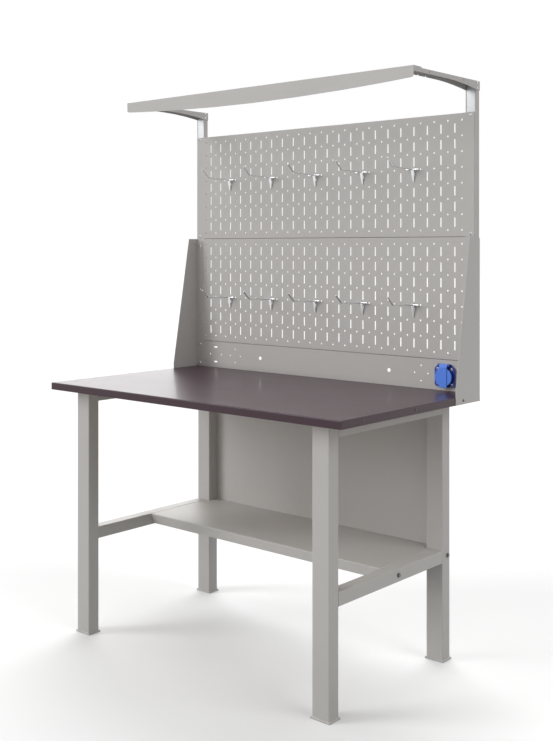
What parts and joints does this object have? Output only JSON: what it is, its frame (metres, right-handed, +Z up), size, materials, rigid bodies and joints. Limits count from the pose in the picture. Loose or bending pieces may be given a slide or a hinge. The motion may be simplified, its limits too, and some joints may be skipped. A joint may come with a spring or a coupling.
{
  "type": "workbench with pegboard",
  "caption": "Steel-topped workbench with a half-depth shelf, pegboard wall with lift-off hooks, side wings, a panel socket with sprung lid and a raised lamp frame.",
  "frame": {"origin": "on the floor under the middle of the worktop", "axes": "+X to the right, +Y to the rear, +Z up"},
  "size_m": [1.2078, 0.75, 1.83],
  "materials": {
    "grey_paint": "satin powder coat, light warm grey",
    "worktop_steel": "dark plum-brown baked coat on sheet steel, semi-gloss",
    "board": "raw chipboard",
    "zinc": "bright zinc plate",
    "dark_steel": "black coat, satin",
    "feet": "satin powder coat",
    "socket_blue": "moulded, glossy",
    "lid_blue": "moulded, satin gloss",
    "gasket": "matt",
    "socket_dark": "moulded, matt"
  },
  "bodies": {
    "frame": {"arm_screws": "zinc", "back_panel": "grey_paint", "back_panel_bolts": "dark_steel", "front_left_foot": "feet", "front_left_leg": "grey_paint", "front_right_foot": "feet", "front_right_leg": "grey_paint", "lamp_fascia": "grey_paint", "left_lamp_arm": "grey_paint", "left_post": "zinc", "left_upright": "grey_paint", "left_wing": "grey_paint", "lower_left_rail": "grey_paint", "lower_pegboard": "grey_paint", "lower_right_rail": "grey_paint", "pegboard_screws": "zinc", "rear_left_foot": "feet", "rear_left_leg": "grey_paint", "rear_right_foot": "feet", "rear_right_leg": "grey_paint", "right_lamp_arm": "grey_paint", "right_post": "zinc", "right_upright": "grey_paint", "right_wing": "grey_paint", "service_panel": "grey_paint", "shelf": "grey_paint", "shelf_bolts": "dark_steel", "socket_earth_clips": "zinc", "socket_flange": "socket_blue", "socket_gasket": "gasket", "socket_hinge_pin": "zinc", "socket_insert": "socket_dark", "socket_rear_cap": "socket_dark", "socket_screws": "zinc", "top_left_rail": "grey_paint", "top_right_rail": "grey_paint", "upper_pegboard": "grey_paint", "wing_edge_screws": "dark_steel", "wing_flange_screws": "zinc", "worktop_board": "board", "worktop_cover": "worktop_steel", "worktop_edge_screws": "dark_steel"},
    "lid": {"socket_lid": "lid_blue"},
    "upper_hook_1": {"upper_hook_1": "zinc"},
    "upper_hook_2": {"upper_hook_2": "zinc"},
    "upper_hook_3": {"upper_hook_3": "zinc"},
    "upper_hook_4": {"upper_hook_4": "zinc"},
    "upper_hook_5": {"upper_hook_5": "zinc"},
    "lower_hook_1": {"lower_hook_1": "zinc"},
    "lower_hook_2": {"lower_hook_2": "zinc"},
    "lower_hook_3": {"lower_hook_3": "zinc"},
    "lower_hook_4": {"lower_hook_4": "zinc"},
    "lower_hook_5": {"lower_hook_5": "zinc"}
  },
  "joints": [
    {"name": "lid_hinge", "type": "hinge", "parent": "frame", "child": "lid", "pos_m": [0.492, 0.3398, 0.925], "axis": [-1, 0, 0], "range_deg": [0, 110], "stiffness_Nm_per_rad": 0.03, "springref_deg": -34.38},
    {"name": "upper_hook_1_lift", "type": "slide", "parent": "frame", "child": "upper_hook_1", "axis": [0, 0, 1], "range_m": [0, 0.008]},
    {"name": "upper_hook_2_lift", "type": "slide", "parent": "frame", "child": "upper_hook_2", "axis": [0, 0, 1], "range_m": [0, 0.008]},
    {"name": "upper_hook_3_lift", "type": "slide", "parent": "frame", "child": "upper_hook_3", "axis": [0, 0, 1], "range_m": [0, 0.008]},
    {"name": "upper_hook_4_lift", "type": "slide", "parent": "frame", "child": "upper_hook_4", "axis": [0, 0, 1], "range_m": [0, 0.008]},
    {"name": "upper_hook_5_lift", "type": "slide", "parent": "frame", "child": "upper_hook_5", "axis": [0, 0, 1], "range_m": [0, 0.008]},
    {"name": "lower_hook_1_lift", "type": "slide", "parent": "frame", "child": "lower_hook_1", "axis": [0, 0, 1], "range_m": [0, 0.008]},
    {"name": "lower_hook_2_lift", "type": "slide", "parent": "frame", "child": "lower_hook_2", "axis": [0, 0, 1], "range_m": [0, 0.008]},
    {"name": "lower_hook_3_lift", "type": "slide", "parent": "frame", "child": "lower_hook_3", "axis": [0, 0, 1], "range_m": [0, 0.008]},
    {"name": "lower_hook_4_lift", "type": "slide", "parent": "frame", "child": "lower_hook_4", "axis": [0, 0, 1], "range_m": [0, 0.008]},
    {"name": "lower_hook_5_lift", "type": "slide", "parent": "frame", "child": "lower_hook_5", "axis": [0, 0, 1], "range_m": [0, 0.008]}
  ]
}
